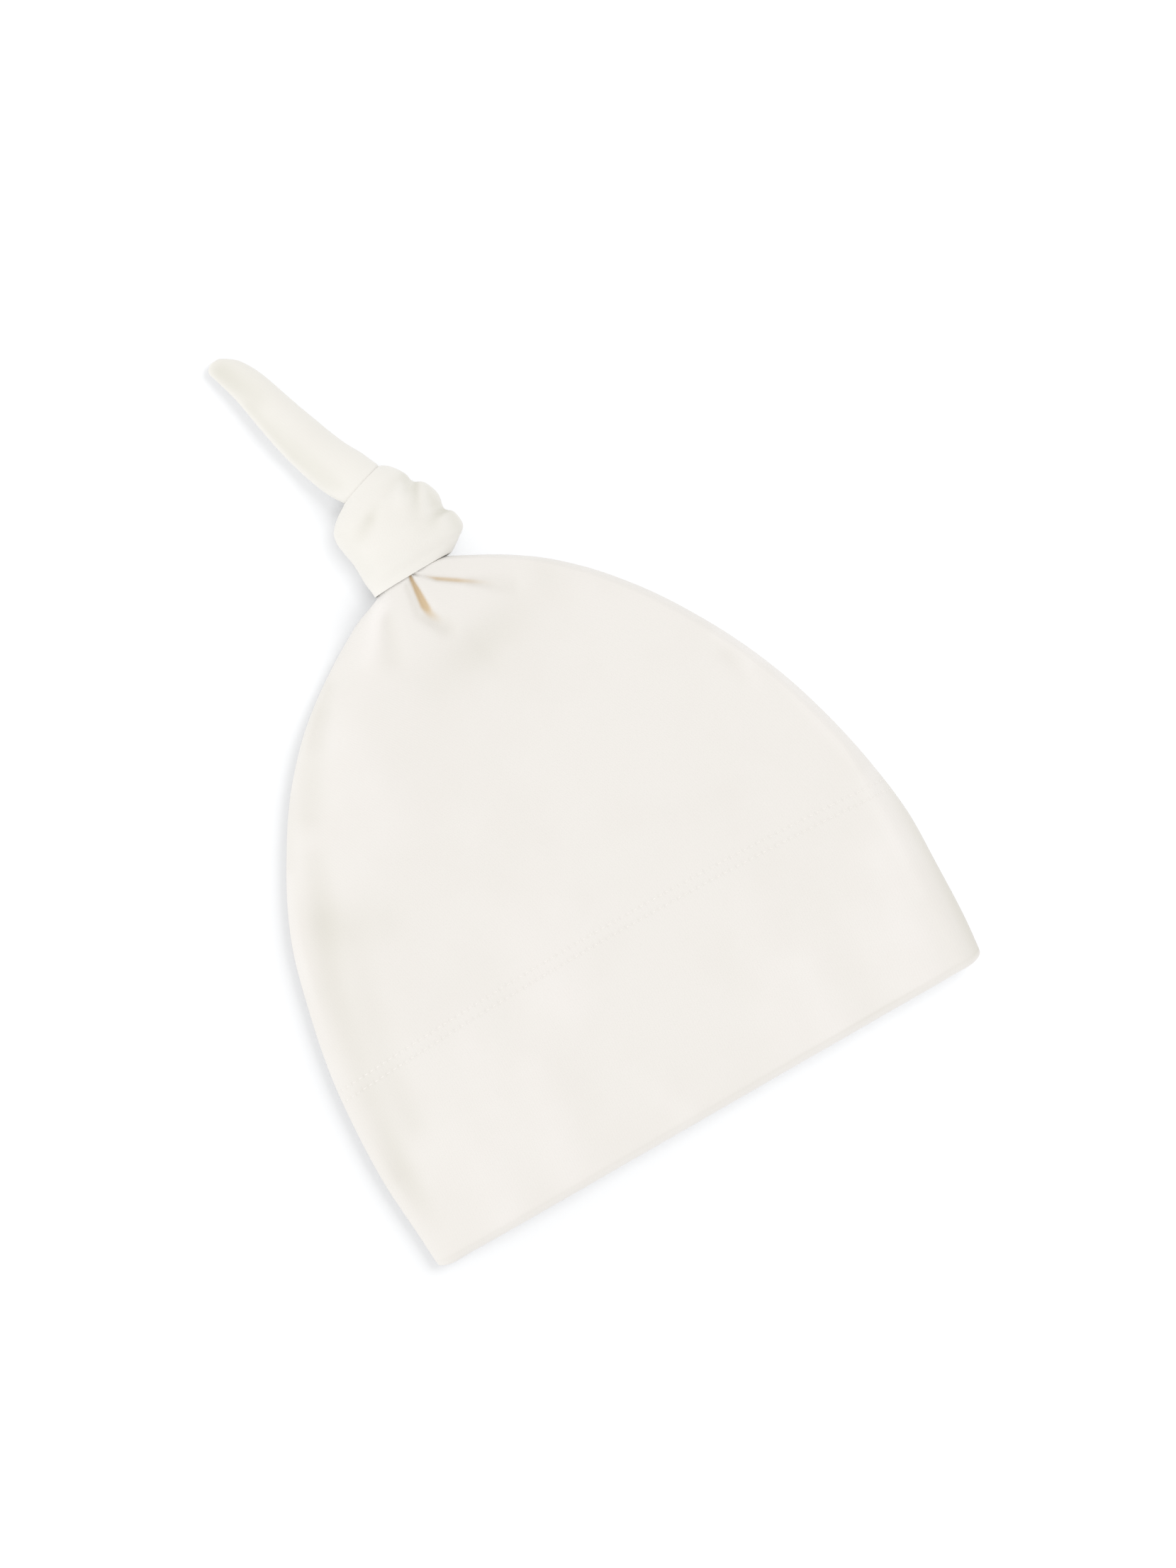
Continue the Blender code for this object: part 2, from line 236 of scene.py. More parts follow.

# Soft folds of the cap, in the same columns, with heights for depths: a valley is negative. A valley's depth
# also sets painted shade and a ridge's height painted light, and near the side folds, where the relief fades
# out, a fold is little more than that painted shade or light
SOFT_FOLDS = (
    (-5.0, 145.0, 10.0, 146.6, 7.0, 7.0, -0.5, -1.3),
    (10.0, 146.6, 32.0, 151.5, 7.0, 6.0, -1.3, -0.3),
    (17.0, 163.7, 26.0, 157.4, 1.4, 2.4, -0.5, -0.5),
    (-8.0, 171.0, -19.0, 159.5, 2.6, 3.2, 1.1, 0.4),
    (-9.0, 166.0, -13.0, 156.0, 2.4, 3.2, -0.8, -0.6),
    (0.6, 171.5, -0.7, 163.0, 0.9, 1.4, -0.6, -0.6),
    (-0.7, 163.0, 4.2, 156.4, 1.4, 2.6, -0.6, -0.9),
    (-33.0, 158.5, -43.5, 146.5, 2.6, 2.6, -0.7, -0.4),
    (-40.0, 153.0, -55.5, 130.0, 4.0, 4.5, -0.7, -0.9),
    (-58.5, 137.0, -68.0, 120.0, 1.8, 1.8, -0.4, -0.5),
    (-60.0, 118.0, -67.2, 102.0, 4.0, 4.5, -0.7, -1.3),
    (-67.2, 102.0, -74.0, 84.0, 4.5, 4.5, -1.3, -1.2),
    (-74.0, 84.0, -79.5, 56.0, 4.5, 4.5, -1.2, -0.8),
    (-62.0, 92.0, -71.0, 62.0, 5.0, 5.0, -0.4, -0.6),
    (-71.0, 62.0, -73.5, 40.0, 5.0, 4.5, -0.6, -0.7),
    (-71.0, 118.0, -77.5, 99.0, 2.0, 2.0, 0.1, 0.45),
    (-77.5, 99.0, -83.5, 70.0, 2.0, 1.5, 0.45, 0.0),
    (-80.4, 50.0, -83.0, 29.0, 4.0, 3.9, -0.8, -1.5),
    (-83.0, 29.0, -82.3, 13.0, 3.9, 3.6, -1.5, -0.3),
    (78.5, 40.0, 73.0, 0.0, 6.0, 6.0, 0.5, 0.6),
    (90.3, 58.0, 91.2, 30.0, 1.8, 2.6, -0.7, -2.0),
    (91.2, 30.0, 89.4, 2.0, 2.6, 2.9, -2.0, -2.2),
    (86.0, 61.0, 83.0, 26.0, 2.6, 2.8, 0.5, 0.3),
    (85.2, 66.0, 78.6, 100.0, 1.9, 1.9, 0.4, 0.4),
    (78.6, 100.0, 69.4, 117.0, 1.9, 1.9, 0.4, 0.4),
    (69.0, 110.0, 70.5, 103.0, 2.5, 2.5, -0.45, -0.3),
    (72.5, 104.0, 73.0, 98.0, 3.0, 3.0, 0.4, 0.2),
    (37.0, 155.0, 40.0, 157.5, 3.5, 3.5, -0.25, -0.1),
    (44.0, 147.0, 42.0, 143.0, 4.0, 5.0, 0.3, 0.2),
    (-12.0, 22.0, -5.0, 2.0, 4.0, 4.0, 0.15, 0.35),
    (45.0, 22.0, 42.0, 2.0, 7.0, 7.0, 0.4, 0.6),
    (-46.0, 55.0, -51.0, 24.0, 6.0, 6.0, 0.3, 0.4),
    (-6.0, 84.0, -9.0, 64.0, 7.0, 7.0, 0.25, 0.35),
    (-62.0, 30.0, -64.0, 4.0, 7.0, 7.0, 0.3, 0.5),
    (-37.0, 36.0, -42.0, 4.0, 6.5, 6.5, 0.5, 0.5),
    (-38.0, 142.0, -36.0, 116.0, 9.0, 9.0, 0.3, 0.4),
    (-20.0, 75.0, -20.0, 48.0, 8.0, 9.0, 0.4, 0.6),
    (40.0, 44.0, 31.0, 12.0, 8.0, 8.0, 0.2, 0.45),
    (66.0, 26.0, 66.0, 6.0, 7.0, 7.0, 0.4, 0.5),
    (-64.0, 100.0, -52.0, 93.5, 7.0, 6.0, -0.8, -0.5),
)

# Knot sections, from its hollow round the neck to its hollow round the tail: left x and y, right x and y,
# top, underside
KNOT_SECTIONS = (
    (-7.5, 176.3, 12.6, 176.5, 17.2, 6.2),
    (-8.0, 175.0, 13.1, 175.6, 17.4, 5.9),
    (-8.9, 173.5, 15.3, 173.8, 17.7, 4.9),
    (-9.1, 173.7, 17.4, 174.8, 18.1, 3.4),
    (-9.2, 175.3, 19.9, 176.6, 18.9, 1.6),
    (-9.6, 178.3, 22.6, 179.0, 20.9, -0.5),
    (-9.6, 182.0, 22.3, 183.2, 22.6, -0.8),
    (-9.8, 185.0, 20.3, 185.6, 22.8, -0.9),
    (-10.5, 188.8, 20.9, 190.0, 22.7, -0.9),
    (-10.8, 192.3, 19.2, 194.6, 22.0, -0.8),
    (-9.9, 195.3, 16.5, 196.6, 20.6, -0.5),
    (-7.4, 197.9, 15.6, 199.8, 18.8, 0.2),
    (-4.6, 199.8, 13.1, 203.4, 16.8, 1.8),
    (-3.4, 200.5, 10.6, 205.0, 15.75, 3.0),
    (-3.2, 199.3, 10.3, 203.6, 15.7, 3.2),
    (-3.1, 198.0, 10.1, 202.0, 15.6, 3.4),
)

# Folds that run round the knot, in the same columns as the soft folds. Their depths also set painted shade and
# their heights painted light
KNOT_FOLDS = (
    (17.3, 196.1, 14.5, 190.0, 1.0, 1.7, -1.6, -0.9),
    (14.5, 190.0, 11.9, 184.9, 1.7, 2.4, -0.9, -0.2),
    (21.2, 185.2, 17.3, 184.3, 0.9, 1.4, -1.8, -1.1),
    (17.3, 184.3, 13.6, 182.4, 1.4, 2.4, -1.1, -0.2),
    (15.4, 199.0, 14.2, 195.2, 1.6, 2.0, -1.1, -1.0),
    (18.6, 192.6, 18.6, 187.4, 1.6, 2.0, -0.9, -1.1),
    (21.2, 183.6, 21.0, 179.2, 1.6, 1.9, -1.0, -0.8),
    (12.3, 198.4, 9.3, 196.6, 1.8, 2.2, -0.3, -0.1),
    (-8.6, 193.0, -7.8, 180.0, 2.4, 2.4, -0.35, -0.35),
    (17.6, 192.5, 15.0, 187.5, 1.6, 2.2, 0.7, 0.3),
    (13.0, 196.5, 10.5, 192.5, 1.5, 2.0, 0.5, 0.3),
    (4.2, 194.4, 1.2, 192.4, 1.5, 1.8, -0.3, -1.0),
    (1.2, 192.4, -3.8, 189.6, 1.8, 2.4, -1.0, -0.5),
)

# Tail sections, from the knot to the tip, in the same columns as the knot's
TAIL_SECTIONS = (
    (-2.7, 198.5, 9.7, 202.5, 15.3, 4.0),
    (-3.0, 200.3, 10.1, 204.8, 15.5, 3.6),
    (-3.8, 201.6, 10.1, 206.0, 15.1, 1.8),
    (-4.9, 203.3, 9.4, 207.6, 13.7, 0.3),
    (-6.7, 206.6, 8.0, 211.0, 11.9, -1.2),
    (-8.7, 211.8, 5.3, 216.0, 10.6, -2.0),
    (-10.4, 217.2, 3.1, 221.2, 9.6, -2.3),
    (-11.7, 222.0, 1.4, 225.8, 9.2, -1.6),
    (-12.8, 227.2, -0.5, 230.8, 8.9, -0.9),
    (-13.7, 232.0, -2.1, 235.4, 8.7, -0.5),
    (-15.4, 241.8, -5.4, 244.8, 7.8, -0.4),
    (-17.3, 248.6, -8.6, 250.6, 6.7, -0.5),
    (-18.3, 252.5, -11.5, 253.3, 5.2, -0.4),
    (-17.0, 254.3, -13.8, 254.6, 4.0, 1.0),
)
# Folds along the tail, in the same columns as the knot's. Their depths also set painted shade
TAIL_FOLDS = (
    (-10.5, 240.0, -15.2, 250.5, 4.0, 4.4, -0.8, -1.7),
    (-5.4, 207.5, -9.2, 219.5, 1.6, 1.8, -0.4, -0.7),
    (-9.2, 219.5, -13.4, 238.0, 1.8, 1.8, -0.7, -0.6),
    (-2.6, 206.5, -6.6, 219.0, 2.4, 2.8, -0.6, -0.7),
    (-6.6, 219.0, -11.4, 236.0, 2.8, 2.4, -0.7, -0.3),
)


class NightcapSizes(bpy.types.PropertyGroup):
    """Sizes of the nightcap's finish that a user may change."""

    stitch_length: FloatProperty(
        name="Stitch length", description="From one needle hole to the next, in mm",
        default=2.08, min=1.5, max=4.0)
    row_gap: FloatProperty(
        name="Needle gap", description="Between the two rows of cover stitching, in mm",
        default=3.1, min=2.0, max=6.0)
    row_middle: FloatProperty(
        name="Row height", description="From the mouth to the lower row, in its middle, in mm",
        default=58.0, min=20.0, max=60.0)
    row_arch: FloatProperty(
        name="Row arch", description="How far the rows drop towards the sides, in mm",
        default=3.3, min=0.0, max=8.0)
    thread_width: FloatProperty(
        name="Thread width", description="Width of the stitching thread, in mm",
        default=0.5, min=0.2, max=0.8)
    band_rise: FloatProperty(
        name="Hem rise", description="How far the cloth between the rows stands proud, in mm",
        default=0.22, min=0.0, max=0.6)
    front_columns: IntProperty(
        name="Front columns", description="Columns of the grid over the front of the cap",
        default=280, min=60, max=400)
    under_columns: IntProperty(
        name="Under columns", description="Columns of the grid under the cap",
        default=80, min=30, max=200)


class NightcapColours(bpy.types.PropertyGroup):
    """Colours and lights that a user may change."""

    jersey: FloatVectorProperty(
        name="Jersey", description="Colour of the cream jersey",
        subtype="COLOR", size=3, default=(0.785, 0.769, 0.746), min=0.0, max=1.0)
    # Painted light: the same jersey as the cap's, made lighter in the knot and the tail
    lit_knot_jersey: FloatVectorProperty(
        name="Knotted jersey", description="Colour of the jersey in the knot and the tail",
        subtype="COLOR", size=3, default=(0.806, 0.796, 0.764), min=0.0, max=1.0)
    # Painted pleat shade: the warm dark colour mixed in deep in the pleats
    pleat_shade_colour: FloatVectorProperty(
        name="Pleat depths", description="Colour that light takes deep in the pleats",
        subtype="COLOR", size=3, default=(0.57, 0.36, 0.09), min=0.0, max=1.0)
    thread: FloatVectorProperty(
        name="Thread", description="Colour of the stitching thread",
        subtype="COLOR", size=3, default=(0.88, 0.86, 0.83), min=0.0, max=1.0)
    floor: FloatVectorProperty(
        name="Floor", description="Colour of the floor",
        subtype="COLOR", size=3, default=(0.415, 0.42, 0.428), min=0.0, max=1.0)
    sky: FloatProperty(
        name="Surrounding light", description="Strength of the even light from all round",
        default=1.075, min=0.0, max=3.0)
    left_light: FloatProperty(
        name="Left light", description="Power of the wide light on the left",
        subtype="POWER", default=4.5, min=0.0)
    shadow_light: FloatProperty(
        name="Shadow light", description="Power of the light that casts the cap's shadow",
        subtype="POWER", default=46.0, min=0.0)
    knot_light: FloatProperty(
        name="Knot light", description="Power of the light that casts the knot's shadow",
        subtype="POWER", default=22.0, min=0.0)
    tail_light: FloatProperty(
        name="Tail light", description="Power of the light that casts the tail's shadow",
        subtype="POWER", default=27.0, min=0.0)


def sizes():
    return bpy.context.scene.nightcap_sizes


def colours():
    return bpy.context.scene.nightcap_colours


def read(table, places):
    """A smooth cubic through a table's rows, read at places in the table's first column, one row for each."""
    rows = np.array(table, float)
    keys, values = rows[:, 0], rows[:, 1:]
    slopes = np.gradient(values, keys, axis=0)
    places = np.clip(np.array(places, float), keys[0], keys[-1])
    span = np.clip(np.searchsorted(keys, places, side="right") - 1, 0, len(keys) - 2)
    width = (keys[span + 1] - keys[span])[:, None]
    t = (places - keys[span])[:, None] / width
    start = values[span] * (2 * t**3 - 3 * t**2 + 1) + slopes[span] * width * (t**3 - 2 * t**2 + t)
    end = values[span + 1] * (3 * t**2 - 2 * t**3) + slopes[span + 1] * width * (t**3 - t**2)
    return start + end


def bell(x, y, row):
    """Height beside one fold line: bell-shaped across it, running evenly from its start to its end."""
    x0, y0, x1, y1, narrow, wide, first, last = row
    along = (x1 - x0, y1 - y0)
    t = np.clip(((x - x0) * along[0] + (y - y0) * along[1]) / (along[0] ** 2 + along[1] ** 2), 0, 1)
    away = np.hypot(x - x0 - t * along[0], y - y0 - t * along[1])
    width = narrow + (wide - narrow) * t
    return (first + (last - first) * t) * np.exp(-((away / width) ** 2))


def pleat_depth(x, y):
    """Depth of the deepest pleat at x, y."""
    depth = np.zeros(np.broadcast(x, y).shape)
    for row in PLEATS:
        depth = np.maximum(depth, bell(x, y, row))
    return depth


def folds(x, y, rows):
    """Sum of the bell-shaped heights of all the fold lines at x, y. Rows that follow on from each other are one
    line, which counts once, with the height of its largest row there."""
    total = np.zeros(np.broadcast(x, y).shape)
    line = total
    last_end = None
    for row in rows:
        height = bell(x, y, row)
        if (row[0], row[1]) == last_end:
            line = np.where(np.abs(height) > np.abs(line), height, line)
        else:
            total = total + line
            line = height
        last_end = (row[2], row[3])
    return total + line


def round_off(distance, reach):
    """From 0 at a side fold to 1 at reach inside it, as a quarter of an ellipse rises."""
    share = np.clip(distance / reach, 0, 1)
    return np.sqrt(np.clip(1 - (1 - share) ** 2, 0, 1))


def smooth(value, low, high):
    """From 0 at low to 1 at high along a smooth step."""
    t = np.clip((value - low) / (high - low), 0, 1)
    return t * t * (3 - 2 * t)


def row_height(x):
    """Height of the lower row of stitching above the mouth: an arch that drops with the square of x."""
    return sizes().row_middle - sizes().row_arch * (x / HALF_MOUTH) ** 2


def hem_band(x, y):
    """Rise of the doubled cloth between the two rows of stitching, with a shallow groove along each row."""
    across = y - row_height(x)
    gap = sizes().row_gap
    low, high = BAND_EDGE
    between = smooth(across, low, high) * (1 - smooth(across, gap - high, gap - low))
    groove = np.exp(-((across / GROOVE_WIDTH) ** 2)) + np.exp(-(((across - gap) / GROOVE_WIDTH) ** 2))
    return sizes().band_rise * between - GROOVE_DEPTH * groove


def drift(x, y):
    """Slow unevenness of lying cloth: three long sine waves that cross at odd angles."""
    total = 0
    for height, turn_x, turn_y, start in WAVES:
        total = total + height * np.sin(turn_x * x + turn_y * y + start)
    return total


def cap_points(y, inset, across, front):
    """Points of the cap for arrays of y, distance inside the skin, place across (1 right to -1 left) and
    whether it is the front. The front rises from the side fold as a quarter ellipse and carries pleats and
    folds, and the underside falls the same way to the floor. Near the mouth the corners rise, the front's
    edge is set back a little, the front lip droops and curls, and the back lip lifts."""
    left, right, top, under, fold = (column[:, None] for column in read(CAP_SECTIONS, y).T)
    y, inset = y[:, None], inset[:, None]
    across, front = across[None, :], front[None, :]
    under = np.maximum(under, 0.0)
    skin_half = (right - left) / 2
    skin_x = (left + right) / 2 + skin_half * across
    skin_distance = skin_half * (1 - np.abs(across))
    relief = folds(skin_x, y, SOFT_FOLDS) + drift(skin_x, y) + hem_band(skin_x, y)
    relief = relief * smooth(skin_distance, 0, RELIEF_MARGIN)
    pressed = pleat_depth(skin_x, y) * np.clip(skin_distance / CREASE_MARGIN, 0, 1)
    half = skin_half - inset
    x = (left + right) / 2 + half * across
    distance = half * (1 - np.abs(across))
    right_shoulder = RIGHT_SHOULDER + (UPPER_RIGHT_SHOULDER - RIGHT_SHOULDER) * smooth(y, *SHARP_PLACE)
    right_shoulder = right_shoulder + NECK_ROUND * smooth(y, *NECK_PLACE)
    shoulder = np.where(across > 0, right_shoulder, LEFT_SHOULDER)
    reach = np.minimum(shoulder * (1 + SHOULDER_GROWTH * inset), REACH_SHARE * half)
    sloped = LEFT_SLOPE * smooth(y, *SLOPE_START) * (1 - smooth(y, *SLOPE_END)) * (across < 0)
    upper = fold + (top - inset - fold) * round_off(distance, reach) ** (1 + sloped) - pressed + relief
    lower = fold - (fold - under - inset) * round_off(distance, np.minimum(UNDERSIDE_ROUND, half))
    z = np.where(front, upper, lower)
    near_mouth = np.clip(1 - y / MOUTH_REACH, 0, 1) ** 2
    lip = np.clip(1 - y / LIP_REACH, 0, 1) ** 2 * smooth(distance, 0, LIP_MARGIN)
    z = z + np.where(front, -LIP_DROOP, LIP_LIFT) * lip
    curl = np.clip(1 - y / EDGE_REACH, 0, 1) ** 2 * smooth(distance, 0, LIP_MARGIN)
    z = z - np.where(front, EDGE_DROOP, 0) * curl
    corner = CORNER_RISE * np.clip((np.abs(across) - CORNER_START) / (1 - CORNER_START), 0, 1) ** 2
    setback = np.where(front, FRONT_SETBACK * round_off(distance, SETBACK_ROUND), 0)
    return np.stack([x, y + near_mouth * (corner + setback), z + 0 * y], axis=-1)


def cap_columns():
    """Places across the cap, over the front from right to left and back under, and which are on the front. The
    front's places lie between even steps and the cosine of an even turn, and so crowd at the side folds."""
    over = np.linspace(0, 1, sizes().front_columns + 1)
    below = np.linspace(0, 1, sizes().under_columns + 1)[1:-1]
    front = COLUMN_CROWDING * np.cos(np.pi * over) + (1 - COLUMN_CROWDING) * (1 - 2 * over)
    across = np.concatenate([front, -np.cos(np.pi * below)])
    return across, np.arange(len(across)) < len(over)


def lengths_round(points):
    """Distance round each closed row of points from its first point, with one column more for the way back."""
    closed = np.concatenate([points, points[:, :1]], axis=1)
    steps = np.linalg.norm(np.diff(closed, axis=1), axis=-1)
    return np.concatenate([np.zeros((len(points), 1)), np.cumsum(steps, axis=1)], axis=1)


def lengths_along(points):
    """Distance along each column of points from its first row, with the first column again at the end."""
    steps = np.linalg.norm(np.diff(points, axis=0), axis=-1)
    along = np.concatenate([np.zeros((1, points.shape[1])), np.cumsum(steps, axis=0)])
    return np.concatenate([along, along[:, :1]], axis=1)


def corner_values(grid, ring):
    """Values at the corners of a closed body's faces, from a grid with one column more than its points: of the
    quads, and then of the two end faces, which a ring doesn't have."""
    if ring:
        grid = np.concatenate([grid, grid[:1]])
    quads = np.stack([grid[:-1, :-1], grid[:-1, 1:], grid[1:, 1:], grid[1:, :-1]], axis=2).reshape(-1)
    if ring:
        return quads
    return np.concatenate([quads, grid[0, :-1][::-1], grid[-1, :-1]])


def start_mesh(name, points, faces):
    """A mesh from points in millimetres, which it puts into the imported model's frame, in metres."""
    placed = (points.reshape(-1, 3) - np.array([MIDDLE[0], MIDDLE[1], 0.0])) * MM
    mesh = bpy.data.meshes.new(name)
    mesh.from_pydata(placed.tolist(), [], faces)
    return mesh


def add_piece(mesh, node, material):
    """Finishes a mesh and links it as a piece that rides on the cap, takes its material and may stand for a
    node."""
    mesh.update()
    mesh.shade_smooth()
    mesh.materials.append(material)
    piece = bpy.data.objects.new(mesh.name, mesh)
    bpy.context.scene.collection.objects.link(piece)
    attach(piece, "root")
    if node:
        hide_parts(node)
    return piece


def make_piece(name, points, maps, shades, node, material, ring=False):
    """A closed body from rows of points that each run once round it: quads between the rows, and a flat face at
    each end or, in a ring, quads from the last row to the first. maps gives UV maps as pairs of grids in
    millimetres, and shades gives point attributes."""
    rows, columns = points.shape[:2]
    row = np.arange(rows if ring else rows - 1)[:, None]
    column = np.arange(columns)[None, :]
    after, following = (row + 1) % rows, (column + 1) % columns
    corners = (row * columns + column, row * columns + following,
               after * columns + following, after * columns + column)
    faces = np.stack(corners, axis=-1).reshape(-1, 4).tolist()
    if not ring:
        faces.append(list(range(columns))[::-1])
        faces.append(list(range((rows - 1) * columns, rows * columns)))
    mesh = start_mesh(name, points, faces)
    for title, grids in maps.items():
        layer = mesh.uv_layers.new(name=title)
        pair = np.stack([corner_values(grid, ring) for grid in grids], axis=-1) * MM
        layer.uv.foreach_set("vector", pair.ravel().astype(np.float32))
    for title, values in shades.items():
        layer = mesh.attributes.new(title, "FLOAT", "POINT")
        layer.data.foreach_set("value", values.ravel().astype(np.float32))
    return add_piece(mesh, node, material)


class Nodes:
    """A short way to write a material's node tree."""

    def __init__(self, name):
        self.material = bpy.data.materials.new(name)
        self.material.use_nodes = True
        self.tree = self.material.node_tree
        self.surface = self.tree.nodes["Principled BSDF"]

    def add(self, kind, **settings):
        node = self.tree.nodes.new(kind)
        for key, value in settings.items():
            setattr(node, key, value)
        return node

    def feed(self, socket, value):
        if isinstance(value, bpy.types.NodeSocket):
            self.tree.links.new(value, socket)
        else:
            socket.default_value = value

    def maths(self, operation, *values):
        node = self.add("ShaderNodeMath", operation=operation)
        for number, value in enumerate(values):
            self.feed(node.inputs[number], value)
        return node.outputs[0]

    def smooth(self, value, low, high, start=0.0, end=1.0):
        node = self.add("ShaderNodeMapRange", interpolation_type="SMOOTHSTEP")
        for socket, entry in zip(node.inputs, (value, low, high, start, end)):
            self.feed(socket, entry)
        return node.outputs[0]

    def noise(self, scale, detail, source):
        node = self.add("ShaderNodeTexNoise")
        self.feed(node.inputs["Scale"], scale)
        self.feed(node.inputs["Detail"], detail)
        self.feed(node.inputs["Vector"], source)
        return node.outputs[0]

    def mix(self, share, first, second, clamped=True):
        node = self.add("ShaderNodeMix", data_type="RGBA", clamp_factor=clamped)
        self.feed(node.inputs[0], share)
        self.feed(node.inputs[6], first)
        self.feed(node.inputs[7], second)
        return node.outputs[2]

    def bump(self, height, millimetres, strength, normal=None):
        node = self.add("ShaderNodeBump")
        self.feed(node.inputs["Height"], height)
        self.feed(node.inputs["Distance"], millimetres * MM)
        self.feed(node.inputs["Strength"], strength)
        if normal is not None:
            self.feed(node.inputs["Normal"], normal)
        return node.outputs[0]


def tinted(colour, tint):
    """A colour times a tint, at most white, with full opacity."""
    return (*(min(1.0, part * share) for part, share in zip(colour, tint)), 1)


def knit_height(nodes, across, along):
    """Plain jersey: upright columns of small V-shaped loops. A column's height is the sine of the place across
    it, and its loops are a cosine along it whose phase runs back towards both sides of the column."""
    place = nodes.maths("FRACT", nodes.maths("DIVIDE", across, WALE * MM))
    column = nodes.maths("SINE", nodes.maths("MULTIPLY", place, math.pi))
    side = nodes.maths("ABSOLUTE", nodes.maths("SUBTRACT", place, 0.5))
    phase = nodes.maths("SUBTRACT", nodes.maths("DIVIDE", along, COURSE * MM), side)
    loops = nodes.maths("COSINE", nodes.maths("MULTIPLY", phase, 2 * math.pi))
    loops = nodes.maths("MULTIPLY_ADD", loops, 0.25, 0.75)
    return nodes.maths("MULTIPLY", column, loops)


def stitch_marks(nodes):
    """Needle holes of the two rows: 1 in a hole and 0 away from it. The stitching map runs along a row and
    across from the lower row, and is folded so that both rows lie at nought. A hole is an ellipse, longer
    across its row."""
    places = nodes.add("ShaderNodeUVMap", uv_map="stitching").outputs[0]
    split = nodes.add("ShaderNodeSeparateXYZ")
    nodes.feed(split.inputs[0], places)
    length, gap = sizes().stitch_length * MM, sizes().row_gap * MM
    turn = nodes.maths("SUBTRACT", nodes.maths("FRACT", nodes.maths("DIVIDE", split.outputs[0], length)), 0.5)
    along = nodes.maths("SUBTRACT", 0.5, nodes.maths("ABSOLUTE", turn))
    along = nodes.maths("MULTIPLY", along, HOLE_ALONG * length)
    folded = nodes.maths("SUBTRACT", split.outputs[1], gap / 2)
    folded = nodes.maths("SUBTRACT", nodes.maths("ABSOLUTE", folded), gap / 2)
    folded = nodes.maths("MULTIPLY", folded, HOLE_ACROSS)
    squares = [nodes.maths("POWER", side, 2.0) for side in (along, folded)]
    away = nodes.maths("SQRT", nodes.maths("ADD", *squares))
    return nodes.smooth(away, HOLE_EDGES[0] * MM, HOLE_EDGES[1] * MM, 1.0, 0.0)


def jersey_material(name, colour, stitched):
    """Matt cotton jersey: cream with slow cloudy variation, with painted shade between the columns of the knit,
    in the needle holes of stitched cloth and where the shade attribute marks a valley or the mouth's turned
    edge, painted light where it marks a ridge, and a warm dark painted shade where the depth attribute says
    that the cloth lies deep in a pleat. The knit, its fuzz and the needle holes are bumps."""
    nodes = Nodes(name)
    cloth = nodes.add("ShaderNodeUVMap", uv_map="cloth").outputs[0]
    split = nodes.add("ShaderNodeSeparateXYZ")
    nodes.feed(split.inputs[0], cloth)
    place = nodes.add("ShaderNodeTexCoord").outputs["Object"]
    knitted = knit_height(nodes, split.outputs[0], split.outputs[1])
    cloudy = nodes.noise(CLOUD_SCALE, 3.0, place)
    fuzz = nodes.noise(FUZZ_SCALE, 3.0, place)
    base = nodes.mix(nodes.smooth(cloudy, 0.35, 0.65), tinted(colour, DULL), tinted(colour, PALE))
    # Painted shade in the hollows between the knit's columns
    between = nodes.smooth(knitted, 0.0, 0.75, BETWEEN_SHARE, 0.0)
    base = nodes.mix(between, base, tinted(colour, KNIT_HOLLOW_SHADE))
    # Painted shade in valleys and at the mouth's turned edge, and painted light on ridges, from the shade
    # attribute
    shade = nodes.add("ShaderNodeAttribute", attribute_name="shade").outputs["Fac"]
    base = nodes.mix(shade, base, tinted(colour, VALLEY_PAINTED_SHADE), False)
    # Painted pleat shade, from the depth attribute
    depth = nodes.add("ShaderNodeAttribute", attribute_name="depth").outputs["Fac"]
    base = nodes.mix(depth, base, (*colours().pleat_shade_colour, 1))
    normal = nodes.bump(fuzz, *FUZZ_BUMP)
    normal = nodes.bump(knitted, *KNIT_BUMP, normal)
    if stitched:
        hole = stitch_marks(nodes)
        # Painted shade in the needle holes
        share = nodes.maths("MULTIPLY", hole, HOLE_SHARE)
        base = nodes.mix(share, base, tinted(colour, NEEDLE_HOLE_SHADE))
        normal = nodes.bump(hole, *HOLE_BUMP, normal)
    nodes.feed(nodes.surface.inputs["Base Color"], base)
    nodes.feed(nodes.surface.inputs["Normal"], normal)
    nodes.surface.inputs["Roughness"].default_value = 0.92
    nodes.surface.inputs["Specular IOR Level"].default_value = 0.25
    nodes.surface.inputs["Sheen Weight"].default_value = 0.12
    nodes.surface.inputs["Sheen Roughness"].default_value = 0.5
    return nodes.material


def thread_material():
    """Matt spun thread: cream, with fine ply lines as a bump and a slight unevenness of colour."""
    nodes = Nodes("stitching_thread")
    place = nodes.add("ShaderNodeTexCoord").outputs["Object"]
    colour = colours().thread
    uneven = nodes.mix(nodes.noise(THREAD_SCALE, 2.0, place), tinted(colour, THREAD_TINT), (*colour, 1))
    nodes.feed(nodes.surface.inputs["Base Color"], uneven)
    plies = nodes.add("ShaderNodeTexWave")
    nodes.feed(plies.inputs["Vector"], place)
    nodes.feed(plies.inputs["Scale"], PLY_SCALE)
    nodes.feed(nodes.surface.inputs["Normal"], nodes.bump(plies.outputs[0], *PLY_BUMP))
    nodes.surface.inputs["Roughness"].default_value = 0.75
    nodes.surface.inputs["Sheen Weight"].default_value = 0.15
    return nodes.material


